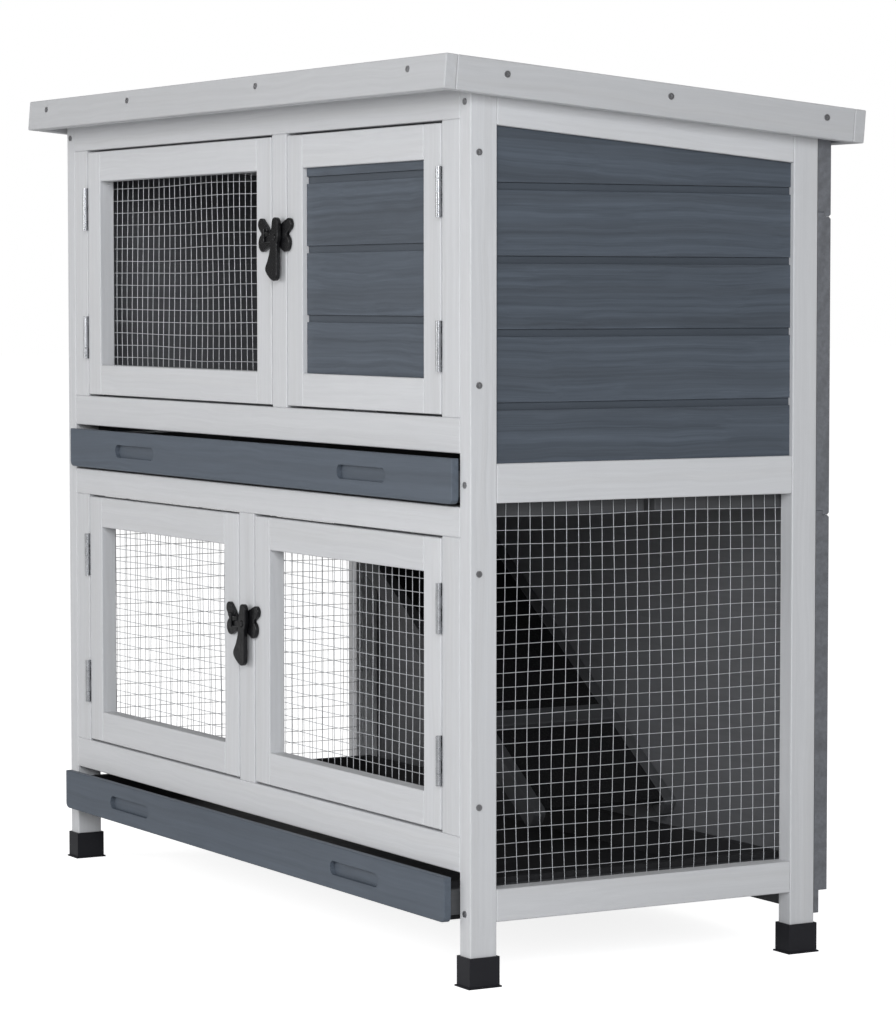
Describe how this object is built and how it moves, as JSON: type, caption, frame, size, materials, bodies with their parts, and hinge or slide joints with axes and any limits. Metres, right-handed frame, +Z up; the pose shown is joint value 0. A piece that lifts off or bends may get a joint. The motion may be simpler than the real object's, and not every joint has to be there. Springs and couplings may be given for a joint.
{
  "type": "rabbit hutch",
  "caption": "Two-storey timber rabbit hutch with a lean-to roof, mesh and boarded doors on butt hinges, lever latches, pull-out trays and an inner ramp.",
  "frame": {"origin": "on the floor, at the middle of the overall box", "axes": "+X along the front to the right, +Y from the front to the back, +Z up"},
  "size_m": [0.907, 0.4478, 0.8186],
  "materials": {
    "white_timber": "white painted softwood, satin",
    "grey_timber": "slate grey painted softwood, satin",
    "tray_black": "black, matte",
    "felt": "mineral roofing felt, rough",
    "foot": "black moulded cap, satin",
    "wire": "galvanised wire",
    "hinge": "zinc plated",
    "cast_black": "black enamelled casting",
    "screw": "zinc plated",
    "tread": "dark grippy felt"
  },
  "bodies": {
    "frame": {"post_front_left": "white_timber", "post_front_right": "white_timber", "post_rear_left": "white_timber", "post_rear_right": "white_timber", "foot_caps": "foot", "front_rail_top": "white_timber", "front_rail_upper_sill": "white_timber", "front_rail_lower_head": "white_timber", "front_rail_lower_sill": "white_timber", "front_stiles": "white_timber", "mullions": "white_timber", "side_rail_top_left": "white_timber", "side_rail_mid_left": "white_timber", "side_rail_base_left": "white_timber", "side_boards_left": "grey_timber", "side_mesh_left": "wire", "side_rail_top_right": "white_timber", "side_rail_mid_right": "white_timber", "side_rail_base_right": "white_timber", "side_boards_right": "grey_timber", "side_mesh_right": "wire", "back_panel_lower": "grey_timber", "back_panel_middle": "grey_timber", "back_panel_upper": "grey_timber", "roof_deck": "grey_timber", "roof_felt": "felt", "fascia_front": "white_timber", "fascia_back": "white_timber", "fascia_left": "white_timber", "fascia_right": "white_timber", "upper_floor": "grey_timber", "floor_beam": "grey_timber", "tray_runners": "grey_timber", "ramp_stringers": "grey_timber", "ramp_tread": "tread", "ramp_cleats": "grey_timber", "hinge_fixed_leaves": "hinge", "frame_screws": "screw"},
    "door_ul": {"door_ul_frame": "white_timber", "door_ul_mesh": "wire", "hinge_leaves_ul": "hinge", "latch_upper_keeper": "cast_black"},
    "door_ur": {"door_ur_frame": "white_timber", "door_ur_boards": "grey_timber", "hinge_leaves_ur": "hinge", "latch_upper_plate": "cast_black"},
    "door_ll": {"door_ll_frame": "white_timber", "door_ll_mesh": "wire", "hinge_leaves_ll": "hinge", "latch_lower_keeper": "cast_black"},
    "door_lr": {"door_lr_frame": "white_timber", "door_lr_mesh": "wire", "hinge_leaves_lr": "hinge", "latch_lower_plate": "cast_black"},
    "lever_upper": {"latch_upper_lever": "cast_black"},
    "tray_upper": {"tray_upper_front": "grey_timber", "tray_upper_box": "tray_black"},
    "lever_lower": {"latch_lower_lever": "cast_black"},
    "tray_lower": {"tray_lower_front": "grey_timber", "tray_lower_box": "tray_black"}
  },
  "joints": [
    {"name": "door_ul_hinge", "type": "hinge", "parent": "frame", "child": "door_ul", "pos_m": [-0.3809, -0.1893, 0.6338], "axis": [0, 0, -1], "range_deg": [0, 115]},
    {"name": "door_ll_hinge", "type": "hinge", "parent": "frame", "child": "door_ll", "pos_m": [-0.3809, -0.1893, 0.265], "axis": [0, 0, -1], "range_deg": [0, 115]},
    {"name": "door_ur_hinge", "type": "hinge", "parent": "frame", "child": "door_ur", "pos_m": [0.3817, -0.1893, 0.6338], "axis": [0, 0, 1], "range_deg": [0, 115]},
    {"name": "door_lr_hinge", "type": "hinge", "parent": "frame", "child": "door_lr", "pos_m": [0.3817, -0.1893, 0.265], "axis": [0, 0, 1], "range_deg": [0, 115]},
    {"name": "lever_upper_turn", "type": "hinge", "parent": "door_ur", "child": "lever_upper", "pos_m": [0.0733, -0.1915, 0.666], "axis": [0, -1, 0], "range_deg": [0, 90]},
    {"name": "lever_lower_turn", "type": "hinge", "parent": "door_lr", "child": "lever_lower", "pos_m": [0.0009, -0.1915, 0.2895], "axis": [0, -1, 0], "range_deg": [0, 90]},
    {"name": "tray_upper_slide", "type": "slide", "parent": "frame", "child": "tray_upper", "axis": [0, -1, 0], "range_m": [-0.0074, 0.15]},
    {"name": "tray_lower_slide", "type": "slide", "parent": "frame", "child": "tray_lower", "axis": [0, -1, 0], "range_m": [-0.0152, 0.3]}
  ]
}
